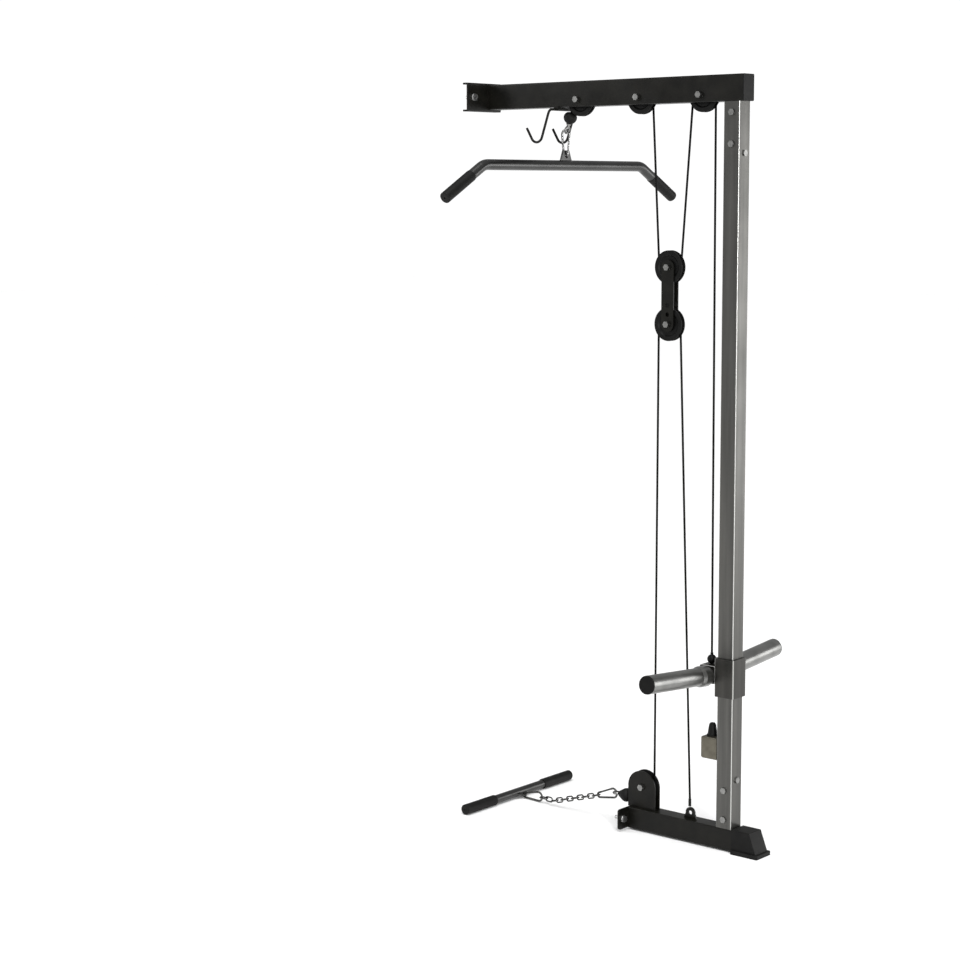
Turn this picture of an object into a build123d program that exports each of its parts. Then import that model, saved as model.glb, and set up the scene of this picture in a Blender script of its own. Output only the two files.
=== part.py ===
"""Lat pulldown and low row tower that bolts to the back of a power rack.

Millimetres, +Z up. The origin is the centre of the rear foot's face on the floor. -Y points from
the tower towards the rack and the user, +X to the side. Cables lie in the plane x = 0.
"""

from build123d import *
from math import asin, atan2, cos, pi, radians, sin
import os

os.makedirs("parts", exist_ok=True)

# ---- driving dimensions ------------------------------------------------------------------
FACE_Y = -97.0  # front face of the upright; the ..._Y values below are measured from it
TUBE = 50.0  # width of every frame tube
WALL = 2.5
CORNER = 3.5  # outer corner radius of the frame tubes

TOP_BEAM_Z = 2053.0
TOP_BEAM_HEIGHT = 70.0
TOP_BEAM_FRONT_Y = FACE_Y - 805.0
TOP_BEAM_REAR_Y = FACE_Y + 58.0
BOTTOM_BEAM_Z = 34.0
BOTTOM_BEAM_HEIGHT = 60.0
BOTTOM_BEAM_FRONT_Y = FACE_Y - 297.0
BOTTOM_BEAM_REAR_Y = FACE_Y + 105.0
UPRIGHT_Y = FACE_Y + TUBE / 2
UPRIGHT_BOTTOM_Z = BOTTOM_BEAM_Z + BOTTOM_BEAM_HEIGHT / 2
UPRIGHT_TOP_Z = TOP_BEAM_Z - TOP_BEAM_HEIGHT / 2
STUB_LENGTH = 150.0
SIDE_BOLT_Z = [89.0, 170.0, 1908.0, 1990.0]
REAR_BOLT_Z = [199.0, 1884.0]

BOLT_RADIUS = 5.0  # M10
BOLT_HOLE = 5.3
HEX_RADIUS = 9.24  # 16 mm across flats
HEAD_HEIGHT = 6.5
AXLE_HEAD_HEIGHT = 8.5
LOW_HEAD_HEIGHT = 4.0
WASHER_RADIUS = 10.5
WASHER = 2.0

TOP_BRACKET_X = (-28.0, 116.0)
TOP_BRACKET_Z = (2012.0, 2092.0)
TOP_BRACKET_DEPTH = 22.0
TOP_BRACKET_SHEET = 5.0
TOP_BRACKET_BOLT = (90.0, 2052.0)
BOTTOM_BRACKET_HALF_WIDTH = 68.0
BOTTOM_BRACKET_Z = (6.0, 64.0)
BOTTOM_BRACKET_SHEET = 5.0
BOTTOM_BRACKET_BOLT = (48.0, 35.0)
RACK_BOLT_REACH = 22.0  # thread that stands out in front of each bracket
RACK_BOLT_SHOULDER = 5.2  # radius of the bolt where it passes through the bracket

FOOT_FRONT_Y = FACE_Y + 53.0
FOOT_REAR_Y = FACE_Y + 141.0

CABLE_RADIUS = 3.0
GROOVE = 36.0  # from a pulley's axis to the cable's centre line
PULLEY_RADIUS = 45.5
PULLEY_HALF_WIDTH = 8.2
HUB_HALF_WIDTH = 8.7
BUSH_RADIUS = 9.0
BUSH_BORE = 5.06
PULLEY_GAP = 9.0  # from the cable's plane to the inner face of a pulley plate
PLATE = 3.0

FRONT_PULLEY = (FACE_Y - 488.0, 2038.0)
MIDDLE_PULLEY = (FACE_Y - 282.0, 2038.0)
REAR_PULLEY = (FACE_Y - 78.0, 2038.0)
LOW_PULLEY = (FACE_Y - 260.0, 125.0)
BLOCK_Y = FACE_Y - 185.0
BLOCK_UPPER = (BLOCK_Y, 1582.5)
BLOCK_LOWER = (BLOCK_Y, 1428.5)
BLOCK_PLATE_WIDTH = 40.0
BLOCK_SPARE_HOLES_Z = [1455.0, 1480.0]
LOW_PLATE_RADIUS = 46.5

SLEEVE = 62.0
SLEEVE_WALL = 3.0
SLEEVE_Z = (429.0, 535.0)
CROSSBAR_HALF_LENGTH = 28.0
CROSSBAR_Z = (461.0, 511.0)
CROSSBAR_Y = FACE_Y - 31.0
POST_RADIUS = 25.0
POST_ROOT_RADIUS = 24.5  # from the crossbar to the outer face of the collar
POST_LENGTH = 278.0
POST_TILT = 4.8  # degrees that each weight post rises outwards
POST_START = (30.0, 482.4)
COLLAR = (8.0, 36.0, 48.0)  # where each collar starts, narrows and ends along its post
COLLAR_RADII = (28.7, 25.6)
CARRIAGE_BALL = (FACE_Y - 35.0, 523.4)
CARRIAGE_BALL_RADIUS = 12.7
BALL_NECK_Z = 541.0

BUMPER_STUB_Z = (250.0, 311.0)
BUMPER_STUB_DEPTH = 54.0
BUMPER_Y = FACE_Y - 30.0
BUMPER_HEIGHT = 35.0

ANCHOR = (FACE_Y - 100.0, 80.0)
ANCHOR_LOOP_Y = FACE_Y - 103.0
ANCHOR_LOOP_RADIUS = 8.2
ANCHOR_FERRULE_RADIUS = 4.0
ANCHOR_FERRULE_Z = (97.2, 118.0)

LAT_STOP_TOP = (FACE_Y - 524.7, 2002.9)
LAT_STOP_TILT = 18.0
LAT_STOP_RADIUS = 18.8
LAT_STOP_WIDEST = 13.0  # from the ball's pulley end to its widest place
LAT_STOP_LENGTH = 31.2
LAT_EYE_REACH = 49.0  # from a stop's pulley end to the centre of its eye
ROW_STOP_TOP = (FACE_Y - 308.0, 89.0)
ROW_STOP_RADIUS = 19.5
ROW_STOP_LENGTH = 36.0
ROW_EYE_REACH = 48.0
EYE_RING = 8.5
EYE_WIRE = 3.5
EYE_SHANK = 4.6
NECK = (7.0, 2.5)  # radius and length of the ring between the round ball and its eye

HOOK_LENGTH = 74.0  # carabiner, between the wire centres of its two ends
HOOK_WIRE = 3.0
HOOK_WIDE = 13.0
HOOK_NARROW = 7.0
GATE = (20.0, 58.0)  # where the gate starts and ends along the carabiner
GATE_WIRE = 2.6
LAT_HOOK = (FACE_Y - 545.0, 1957.2)  # top of the lat carabiner, which hangs plumb

BAR_RADIUS = 14.6
BAR_Y = LAT_HOOK[0]
BAR_Z = 1858.2
BAR_BEND_X = 352.0
BAR_END = (507.5, 1771.7)
BAR_BEND_RADIUS = 60.0
GRIP_LENGTH = 118.0
GRIP_RADIUS = 15.8
GRIP_CAP = 4.0
VENT_RADIUS = 2.5

LINK_WIRE = 2.2
LINK_PITCH = 21.2
LINK_HALF_WIDTH = 6.5
LINK_COUNT = 11
LINKS_ON_SLOPE = 9
CHAIN_SLOPE = 16.75
ROW_YAW = 4.0
HANDLE_HALF_LENGTH = 240.0
HANDLE_RADIUS = 12.5
HANDLE_GRIP_RADIUS = 15.0
HANDLE_GRIP_LENGTH = 128.5
HANDLE_Z = 15.2
HANDLE_LUG_REACH = 21.0
HANDLE_LUG_DROP = 3.5  # the hole in the lug is this much lower than the handle's axis


# ---- shared shapes -----------------------------------------------------------------------
def tube_section(wide, high, wall=WALL, corner=CORNER):
    """The section of a square or rectangular tube, in the sketch that is open."""
    RectangleRounded(wide, high, corner)
    RectangleRounded(wide - 2 * wall, high - 2 * wall, max(corner - wall, 0.6), mode=Mode.SUBTRACT)


def cylinder_along(plane, radius, length, mode=Mode.ADD):
    """A round bar or hole from a plane, along the plane's normal, in the part that is open."""
    with BuildSketch(plane) as section:
        Circle(radius)
    extrude(section.sketch, amount=length, mode=mode)


def hexagon_along(plane, height):
    """A bolt head or nut that stands on a plane, in the part that is open."""
    with BuildSketch(plane) as hexagon:
        RegularPolygon(HEX_RADIUS, 6)
    extrude(hexagon.sketch, amount=height)


def hex_bolt(plane, shank, head_height, nut_at=None):
    """A hexagon head and a shank on a plane whose normal points out of the head.

    nut_at is the distance from the plane back to the face that the nut bears on.
    """
    hexagon_along(plane, head_height)
    cylinder_along(plane.offset(-shank), BOLT_RADIUS, shank)
    if nut_at is not None:
        hexagon_along(plane.offset(-nut_at - head_height), head_height)


def rack_bolt(plane, sheet):
    """A washer and bolt whose thread stands out in front of a bracket's sheet."""
    cylinder_along(plane, WASHER_RADIUS, WASHER)
    hexagon_along(plane.offset(WASHER), HEAD_HEIGHT)
    cylinder_along(plane.offset(-sheet), RACK_BOLT_SHOULDER, sheet)
    cylinder_along(plane.offset(-sheet - RACK_BOLT_REACH), BOLT_RADIUS, RACK_BOLT_REACH)


def side_plane(x, y, z, sign=1):
    """A plane whose normal points along +X (sign 1) or -X (sign -1)."""
    return Plane(origin=(x, y, z), x_dir=(0, sign, 0), z_dir=(sign, 0, 0))


def rear_plane(x, y, z):
    """A plane whose normal points along +Y."""
    return Plane(origin=(x, y, z), x_dir=(-1, 0, 0), z_dir=(0, 1, 0))


def fore_plane(x, y, z):
    """A plane whose normal points along -Y."""
    return Plane(origin=(x, y, z), x_dir=(1, 0, 0), z_dir=(0, -1, 0))


# ---- frame -------------------------------------------------------------------------------
BEAM_PULLEYS = [FRONT_PULLEY, MIDDLE_PULLEY, REAR_PULLEY]
SLOT_LENGTH = 98.0
SLOT_WIDTH = 24.0

with BuildPart() as top_beam:
    with BuildSketch(fore_plane(0, TOP_BEAM_REAR_Y, TOP_BEAM_Z)):
        tube_section(TUBE, TOP_BEAM_HEIGHT)
    extrude(amount=TOP_BEAM_REAR_Y - TOP_BEAM_FRONT_Y)
    # slots in the underside that the pulleys hang through
    with BuildSketch(Plane.XY.offset(UPRIGHT_TOP_Z)):
        with Locations([(0, y) for y, _ in BEAM_PULLEYS]):
            SlotOverall(SLOT_LENGTH, SLOT_WIDTH, rotation=90)
    extrude(amount=WALL, mode=Mode.SUBTRACT)
    for y, z in BEAM_PULLEYS:
        cylinder_along(side_plane(-TUBE / 2, y, z), BOLT_HOLE, TUBE, Mode.SUBTRACT)
top_beam.part.label = "top_beam"

CAP_THICKNESS = 3.0
with BuildPart() as top_beam_cap:
    with BuildSketch(rear_plane(0, TOP_BEAM_REAR_Y, TOP_BEAM_Z)):
        RectangleRounded(TUBE, TOP_BEAM_HEIGHT, CORNER)
    extrude(amount=CAP_THICKNESS)
    fillet(top_beam_cap.faces().sort_by(Axis.Y)[-1].edges(), 1.0)
    with BuildSketch(fore_plane(0, TOP_BEAM_REAR_Y, TOP_BEAM_Z)):
        tube_section(TUBE - 2 * WALL - 0.4, TOP_BEAM_HEIGHT - 2 * WALL - 0.4, 2.0, 2.0)
    extrude(amount=18.0)
top_beam_cap.part.label = "top_beam_cap"

with BuildPart() as top_bracket:
    with BuildSketch(side_plane(TOP_BRACKET_X[0], 0, 0)):
        bracket_y = TOP_BEAM_FRONT_Y - TOP_BRACKET_DEPTH / 2
        bracket_height = TOP_BRACKET_Z[1] - TOP_BRACKET_Z[0]
        with Locations((bracket_y, sum(TOP_BRACKET_Z) / 2)):
            Rectangle(TOP_BRACKET_DEPTH, bracket_height)
        with Locations((bracket_y - TOP_BRACKET_SHEET, sum(TOP_BRACKET_Z) / 2)):
            Rectangle(TOP_BRACKET_DEPTH, bracket_height - 2 * TOP_BRACKET_SHEET, mode=Mode.SUBTRACT)
    extrude(amount=TOP_BRACKET_X[1] - TOP_BRACKET_X[0])
    # the flanges' free corners are rounded, and so are the two outer bends of the sheet
    free_corners = top_bracket.edges().filter_by(Axis.Z).group_by(Axis.Y)[0]
    fillet(free_corners, 6.0)
    bends = top_bracket.edges().filter_by(Axis.X).group_by(Axis.Y)[-1]
    fillet(bends, 3.0)
    cylinder_along(
        rear_plane(TOP_BRACKET_BOLT[0], TOP_BEAM_FRONT_Y - TOP_BRACKET_SHEET, TOP_BRACKET_BOLT[1]),
        BOLT_HOLE,
        TOP_BRACKET_SHEET,
        Mode.SUBTRACT,
    )
top_bracket.part.label = "top_bracket"

with BuildPart() as bottom_beam:
    with BuildSketch(fore_plane(0, BOTTOM_BEAM_REAR_Y, BOTTOM_BEAM_Z)):
        tube_section(TUBE, BOTTOM_BEAM_HEIGHT)
    extrude(amount=BOTTOM_BEAM_REAR_Y - BOTTOM_BEAM_FRONT_Y)
bottom_beam.part.label = "bottom_beam"

BOTTOM_PLATE_HEIGHT = BOTTOM_BRACKET_Z[1] - BOTTOM_BRACKET_Z[0]
with BuildPart() as bottom_bracket:
    with BuildSketch(fore_plane(0, BOTTOM_BEAM_FRONT_Y, sum(BOTTOM_BRACKET_Z) / 2)):
        RectangleRounded(2 * BOTTOM_BRACKET_HALF_WIDTH, BOTTOM_PLATE_HEIGHT, 7.0)
        with Locations((-BOTTOM_BRACKET_BOLT[0], 0), (BOTTOM_BRACKET_BOLT[0], 0)):
            Circle(BOLT_HOLE, mode=Mode.SUBTRACT)
    extrude(amount=BOTTOM_BRACKET_SHEET)
bottom_bracket.part.label = "bottom_bracket"

with BuildPart() as rack_bolts:
    upper = rear_plane(TOP_BRACKET_BOLT[0], TOP_BEAM_FRONT_Y, TOP_BRACKET_BOLT[1])
    rack_bolt(upper, TOP_BRACKET_SHEET)
    for x in (-BOTTOM_BRACKET_BOLT[0], BOTTOM_BRACKET_BOLT[0]):
        lower = rear_plane(x, BOTTOM_BEAM_FRONT_Y, BOTTOM_BRACKET_BOLT[1])
        rack_bolt(lower, BOTTOM_BRACKET_SHEET)
rack_bolts.part.label = "rack_bolts"

with BuildPart() as upright:
    with BuildSketch(Plane.XY.offset(UPRIGHT_BOTTOM_Z)):
        with Locations((0, UPRIGHT_Y)):
            tube_section(TUBE, TUBE)
    extrude(amount=UPRIGHT_TOP_Z - UPRIGHT_BOTTOM_Z)
    for z in SIDE_BOLT_Z:
        cylinder_along(side_plane(-TUBE / 2, UPRIGHT_Y, z), BOLT_HOLE, TUBE, Mode.SUBTRACT)
    for z in REAR_BOLT_Z:
        cylinder_along(rear_plane(0, UPRIGHT_Y, z), BOLT_HOLE, TUBE / 2, Mode.SUBTRACT)
upright.part.label = "upright"

# short tubes welded to the beams, which the upright slides over
STUB_TUBE = TUBE - 2 * WALL - 0.4
with BuildPart() as upright_stubs:
    for low_z in (UPRIGHT_BOTTOM_Z, UPRIGHT_TOP_Z - STUB_LENGTH):
        with BuildSketch(Plane.XY.offset(low_z)):
            with Locations((0, UPRIGHT_Y)):
                tube_section(STUB_TUBE, STUB_TUBE, 3.0, 1.5)
        extrude(amount=STUB_LENGTH)
    for z in SIDE_BOLT_Z:
        cylinder_along(side_plane(-TUBE / 2, UPRIGHT_Y, z), BOLT_HOLE, TUBE, Mode.SUBTRACT)
    for z in REAR_BOLT_Z:
        cylinder_along(rear_plane(0, UPRIGHT_Y, z), BOLT_HOLE, TUBE / 2, Mode.SUBTRACT)
upright_stubs.part.label = "upright_stubs"

REAR_SHANK = 20.0
with BuildPart() as upright_bolts:
    for z in SIDE_BOLT_Z:
        hex_bolt(side_plane(TUBE / 2, UPRIGHT_Y, z), TUBE + 8.0, LOW_HEAD_HEIGHT, TUBE)
    for z in REAR_BOLT_Z:
        hex_bolt(rear_plane(0, UPRIGHT_Y + TUBE / 2, z), REAR_SHANK, LOW_HEAD_HEIGHT)
upright_bolts.part.label = "upright_bolts"

FOOT_HALF_WIDTH = 35.0
FOOT_SHELL_HALF_WIDTH = 29.0
FOOT_FLANGE = 11.0
FOOT_TOP_Z = 67.0
with BuildPart() as rear_foot:
    with BuildSketch(Plane.XY):
        with Locations((0, (FOOT_FRONT_Y + FOOT_REAR_Y) / 2)):
            RectangleRounded(2 * FOOT_HALF_WIDTH, FOOT_REAR_Y - FOOT_FRONT_Y, 5.0)
    extrude(amount=FOOT_FLANGE)
    fillet(rear_foot.faces().sort_by(Axis.Z)[-1].edges(), 2.0)
    with BuildSketch(side_plane(-FOOT_SHELL_HALF_WIDTH, 0, 0)):
        with BuildLine():
            Polyline(
                (FOOT_FRONT_Y + 1, FOOT_FLANGE / 2),
                (FOOT_FRONT_Y + 1, FOOT_TOP_Z),
                (FACE_Y + 111, FOOT_TOP_Z),
                (FACE_Y + 135, FOOT_FLANGE / 2),
                close=True,
            )
        make_face()
    extrude(amount=2 * FOOT_SHELL_HALF_WIDTH)
    fillet(rear_foot.faces().sort_by(Axis.Z)[-1].edges(), 2.5)
    # pocket for the end of the bottom beam
    with BuildSketch(fore_plane(0, BOTTOM_BEAM_REAR_Y, BOTTOM_BEAM_Z)):
        RectangleRounded(TUBE, BOTTOM_BEAM_HEIGHT, CORNER)
    extrude(amount=BOTTOM_BEAM_REAR_Y - FOOT_FRONT_Y + 1, mode=Mode.SUBTRACT)
rear_foot.part.label = "rear_foot"

# one bent rod makes both bar hooks, and a strap under the beam carries it
HOOK_ROD = 3.5
HOOK_X = 58.0
ROD_Z = 2012.0
ROD_Y = FACE_Y - 557.0
HOOK_VERTEX = (FACE_Y - 597.7, 1896.0)
HOOK_TIP = (FACE_Y - 637.5, 1962.0)
STRAP = (56.0, 30.0, 3.0)
with BuildPart() as bar_hooks:
    with BuildLine() as rod:
        FilletPolyline(
            (HOOK_X, *HOOK_TIP),
            (HOOK_X, *HOOK_VERTEX),
            (HOOK_X, ROD_Y, ROD_Z),
            (-HOOK_X, ROD_Y, ROD_Z),
            (-HOOK_X, *HOOK_VERTEX),
            (-HOOK_X, *HOOK_TIP),
            radius=[20.0, 10.0, 10.0, 20.0],
        )
    with BuildSketch(Plane(origin=rod.line @ 0, z_dir=rod.line % 0)):
        Circle(HOOK_ROD)
    sweep()
    with BuildSketch(Plane.XY.offset(UPRIGHT_TOP_Z - STRAP[2])):
        with Locations((0, ROD_Y)):
            RectangleRounded(TUBE - 4, STRAP[1], 4.0)
    extrude(amount=STRAP[2])
bar_hooks.part.label = "bar_hooks"


# ---- bumper and cable anchor ---------------------------------------------------------------
STUB_HEIGHT = BUMPER_STUB_Z[1] - BUMPER_STUB_Z[0]
with BuildPart() as bumper_stub:
    with BuildSketch(fore_plane(0, FACE_Y, sum(BUMPER_STUB_Z) / 2)):
        RectangleRounded(TUBE, STUB_HEIGHT, CORNER)
    extrude(amount=BUMPER_STUB_DEPTH)
    front = bumper_stub.faces().sort_by(Axis.Y)[0]
    fillet(front.edges().filter_by(Axis.X).sort_by(Axis.Z)[0], 8.0)
    with BuildSketch(fore_plane(0, FACE_Y, sum(BUMPER_STUB_Z) / 2 + 1.5)):
        Rectangle(TUBE - 2 * WALL, STUB_HEIGHT - 2 * WALL - 8)
    extrude(amount=BUMPER_STUB_DEPTH - 9, mode=Mode.SUBTRACT)
bumper_stub.part.label = "bumper_stub"

with BuildPart() as bumper:
    with BuildSketch(fore_plane(0, BUMPER_Y, BUMPER_STUB_Z[1])):
        with BuildLine():
            Polyline(
                (0, 0), (15.5, 0), (15.5, 3), (13.5, 5), (9.5, BUMPER_HEIGHT - 4),
                (6.5, BUMPER_HEIGHT), (0, BUMPER_HEIGHT), close=True,
            )
        make_face()
    revolve(axis=Axis((0, BUMPER_Y, 0), (0, 0, 1)))
bumper.part.label = "bumper"

TAB_HALF = 2.5
with BuildPart() as cable_anchor_tab:
    with BuildSketch(side_plane(-TAB_HALF, *ANCHOR)):
        Circle(15.0)
        drop = ANCHOR[1] - UPRIGHT_BOTTOM_Z
        Polygon((-20.5, -drop), (20.5, -drop), (13.5, 2), (-13.5, 2), align=None)
        with Locations((0, -drop - 5)):
            Rectangle(60, 10, mode=Mode.SUBTRACT)
        Circle(6.0, mode=Mode.SUBTRACT)
    extrude(amount=2 * TAB_HALF)
cable_anchor_tab.part.label = "cable_anchor_tab"

LOOP_WIRE = 2.0
LOOP_Z = ANCHOR[1] + 10.0
with BuildPart() as cable_anchor_loop:
    with BuildSketch(fore_plane(0, ANCHOR_LOOP_Y, LOOP_Z)):
        with Locations((ANCHOR_LOOP_RADIUS, 0)):
            Circle(LOOP_WIRE)
    revolve(axis=Axis((0, ANCHOR_LOOP_Y, LOOP_Z), (0, 1, 0)))
    ferrule = Plane(origin=(0, ANCHOR_LOOP_Y, ANCHOR_FERRULE_Z[0]), z_dir=(0, 0, 1))
    cylinder_along(ferrule, ANCHOR_FERRULE_RADIUS, ANCHOR_FERRULE_Z[1] - ANCHOR_FERRULE_Z[0])
cable_anchor_loop.part.label = "cable_anchor_loop"


# ---- pulleys and what carries them ---------------------------------------------------------
def pulley(centre):
    """A grooved wheel on a steel bush, turning about the X axis through its centre."""
    y, z = centre
    floor = GROOVE - CABLE_RADIUS - 0.3
    half = CABLE_RADIUS + 0.5
    with BuildPart() as wheel:
        with BuildSketch(fore_plane(0, y, z)):
            with BuildLine():
                Polyline(
                    (-HUB_HALF_WIDTH, BUSH_RADIUS),
                    (-HUB_HALF_WIDTH, 15.0),
                    (-5.0, 17.0),
                    (-5.0, 30.0),
                    (-PULLEY_HALF_WIDTH, 34.0),
                    (-PULLEY_HALF_WIDTH, PULLEY_RADIUS - 0.8),
                    (-PULLEY_HALF_WIDTH + 0.8, PULLEY_RADIUS),
                    (-6.4, PULLEY_RADIUS),
                    (-half, floor + half),
                )
                ThreePointArc((-half, floor + half), (0, floor), (half, floor + half))
                Polyline(
                    (half, floor + half),
                    (6.4, PULLEY_RADIUS),
                    (PULLEY_HALF_WIDTH - 0.8, PULLEY_RADIUS),
                    (PULLEY_HALF_WIDTH, PULLEY_RADIUS - 0.8),
                    (PULLEY_HALF_WIDTH, 34.0),
                    (5.0, 30.0),
                    (5.0, 17.0),
                    (HUB_HALF_WIDTH, 15.0),
                    (HUB_HALF_WIDTH, BUSH_RADIUS),
                    (-HUB_HALF_WIDTH, BUSH_RADIUS),
                )
            make_face()
            with Locations((0, (BUSH_RADIUS - 0.02 + BUSH_BORE) / 2)):
                Rectangle(2 * HUB_HALF_WIDTH, BUSH_RADIUS - 0.02 - BUSH_BORE)
        revolve(axis=Axis((0, y, z), (1, 0, 0)))
    return wheel


front_pulley = pulley(FRONT_PULLEY)
front_pulley.part.label = "front_pulley"
middle_pulley = pulley(MIDDLE_PULLEY)
middle_pulley.part.label = "middle_pulley"
rear_pulley = pulley(REAR_PULLEY)
rear_pulley.part.label = "rear_pulley"
low_pulley = pulley(LOW_PULLEY)
low_pulley.part.label = "low_pulley"
block_upper_pulley = pulley(BLOCK_UPPER)
block_upper_pulley.part.label = "block_upper_pulley"
block_lower_pulley = pulley(BLOCK_LOWER)
block_lower_pulley.part.label = "block_lower_pulley"

PLATE_FACE = PULLEY_GAP + PLATE  # outer face of a pulley plate
with BuildPart() as beam_axles:
    for y, z in BEAM_PULLEYS:
        hex_bolt(side_plane(TUBE / 2, y, z), TUBE + 12.0, AXLE_HEAD_HEIGHT, TUBE)
beam_axles.part.label = "beam_axles"

SPACER_LENGTH = TUBE / 2 - WALL - PULLEY_GAP
with BuildPart() as beam_spacers:
    for y, z in BEAM_PULLEYS:
        for x in (PULLEY_GAP, -TUBE / 2 + WALL):
            with BuildSketch(side_plane(x, y, z)):
                Circle(BUSH_RADIUS)
                Circle(BOLT_HOLE, mode=Mode.SUBTRACT)
            extrude(amount=SPACER_LENGTH)
beam_spacers.part.label = "beam_spacers"

with BuildPart() as low_pulley_plates:
    for x in (PULLEY_GAP, -PLATE_FACE):
        with BuildSketch(side_plane(x, *LOW_PULLEY)):
            stand = LOW_PULLEY[1] - UPRIGHT_BOTTOM_Z
            Circle(LOW_PLATE_RADIUS)
            with Locations((0, -stand / 2)):
                Rectangle(2 * LOW_PLATE_RADIUS, stand)
            Circle(BOLT_HOLE, mode=Mode.SUBTRACT)
        extrude(amount=PLATE)
low_pulley_plates.part.label = "low_pulley_plates"

with BuildPart() as low_pulley_axle:
    low_head = side_plane(PLATE_FACE, *LOW_PULLEY)
    hex_bolt(low_head, 2 * PLATE_FACE + 12.0, AXLE_HEAD_HEIGHT, 2 * PLATE_FACE)
low_pulley_axle.part.label = "low_pulley_axle"

BLOCK_SPAN = BLOCK_UPPER[1] - BLOCK_LOWER[1]
with BuildPart() as block_plates:
    for x in (PULLEY_GAP, -PLATE_FACE):
        with BuildSketch(side_plane(x, BLOCK_Y, (BLOCK_UPPER[1] + BLOCK_LOWER[1]) / 2)):
            SlotCenterToCenter(BLOCK_SPAN, BLOCK_PLATE_WIDTH, rotation=90)
            with Locations((0, BLOCK_SPAN / 2), (0, -BLOCK_SPAN / 2)):
                Circle(BOLT_HOLE, mode=Mode.SUBTRACT)
        extrude(amount=PLATE)
    for z in BLOCK_SPARE_HOLES_Z:
        cylinder_along(side_plane(-PLATE_FACE, BLOCK_Y, z), 6.0, 2 * PLATE_FACE, Mode.SUBTRACT)
block_plates.part.label = "block_plates"

with BuildPart() as block_axles:
    for y, z in (BLOCK_UPPER, BLOCK_LOWER):
        block_head = side_plane(PLATE_FACE, y, z)
        hex_bolt(block_head, 2 * PLATE_FACE + 12.0, AXLE_HEAD_HEIGHT, 2 * PLATE_FACE)
block_axles.part.label = "block_axles"


# ---- weight carriage -----------------------------------------------------------------------
SLEEVE_HEIGHT = SLEEVE_Z[1] - SLEEVE_Z[0]
with BuildPart() as carriage_sleeve:
    with BuildSketch(Plane.XY.offset(SLEEVE_Z[0])):
        with Locations((0, UPRIGHT_Y)):
            RectangleRounded(SLEEVE, SLEEVE, 4.5)
            RectangleRounded(SLEEVE - 2 * SLEEVE_WALL, SLEEVE - 2 * SLEEVE_WALL, 1.5, mode=Mode.SUBTRACT)
    extrude(amount=SLEEVE_HEIGHT)
carriage_sleeve.part.label = "carriage_sleeve"

GLIDE_HEIGHT = 22.0
GLIDE_OUTSIDE = SLEEVE - 2 * SLEEVE_WALL - 0.1
GLIDE_INSIDE = TUBE + 0.8
with BuildPart() as carriage_glides:
    for low_z in (SLEEVE_Z[0], SLEEVE_Z[1] - GLIDE_HEIGHT):
        with BuildSketch(Plane.XY.offset(low_z)):
            with Locations((0, UPRIGHT_Y)):
                RectangleRounded(GLIDE_OUTSIDE, GLIDE_OUTSIDE, 1.5)
                RectangleRounded(GLIDE_INSIDE, GLIDE_INSIDE, 1.0, mode=Mode.SUBTRACT)
        extrude(amount=GLIDE_HEIGHT)
carriage_glides.part.label = "carriage_glides"

CROSSBAR = CROSSBAR_Z[1] - CROSSBAR_Z[0]
with BuildPart() as carriage_crossbar:
    with BuildSketch(side_plane(-CROSSBAR_HALF_LENGTH, CROSSBAR_Y, sum(CROSSBAR_Z) / 2)):
        RectangleRounded(CROSSBAR, CROSSBAR, 5.0)
    extrude(amount=2 * CROSSBAR_HALF_LENGTH)
    fillet(carriage_crossbar.faces().filter_by(Axis.X).edges(), 1.8)
    with BuildSketch(side_plane(-CROSSBAR_HALF_LENGTH + 4, CROSSBAR_Y, sum(CROSSBAR_Z) / 2)):
        RectangleRounded(CROSSBAR - 8, CROSSBAR - 8, 2.0)
    extrude(amount=2 * CROSSBAR_HALF_LENGTH - 8, mode=Mode.SUBTRACT)
carriage_crossbar.part.label = "carriage_crossbar"


def post_plane(side, distance):
    """The plane across a weight post, at a distance along it, with its normal outwards."""
    tilt = radians(POST_TILT)
    along = Vector(side * cos(tilt), 0, sin(tilt))
    start = Vector(side * POST_START[0], CROSSBAR_Y, POST_START[1])
    return Plane(origin=start + along * distance, x_dir=(0, side, 0), z_dir=along)


POST_WALL = 3.0
POST_CAP = 4.0
CROSSBAR_SPAN = 2 * CROSSBAR_HALF_LENGTH
with BuildPart() as weight_posts:
    for side in (1, -1):
        cylinder_along(post_plane(side, -8), POST_ROOT_RADIUS, 8 + COLLAR[2])
        cylinder_along(post_plane(side, COLLAR[2]), POST_RADIUS, POST_LENGTH - POST_CAP - COLLAR[2])
    for side in (1, -1):
        bore = POST_RADIUS - POST_WALL
        cylinder_along(post_plane(side, -8), bore, POST_LENGTH - POST_CAP + 8, Mode.SUBTRACT)
    # each post ends on the side face of the crossbar
    with Locations((0, CROSSBAR_Y, POST_START[1])):
        Box(CROSSBAR_SPAN, 80, 80, mode=Mode.SUBTRACT)
weight_posts.part.label = "weight_posts"

with BuildPart() as post_collars:
    for side in (1, -1):
        root = post_plane(side, 0)
        with BuildSketch(Plane(origin=root.origin, x_dir=root.x_dir, z_dir=-root.y_dir)):
            with BuildLine():
                Polyline(
                    (POST_ROOT_RADIUS, COLLAR[0]),
                    (COLLAR_RADII[0], COLLAR[0]),
                    (COLLAR_RADII[0], COLLAR[1]),
                    (COLLAR_RADII[1], COLLAR[2]),
                    (POST_ROOT_RADIUS, COLLAR[2]),
                    close=True,
                )
            make_face()
        revolve(axis=Axis(root.origin, root.z_dir))
    rims = post_collars.edges().filter_by(GeomType.CIRCLE).filter_by(lambda e: e.radius > COLLAR_RADII[0] - 1)
    fillet(rims, 1.5)
post_collars.part.label = "post_collars"

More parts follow.
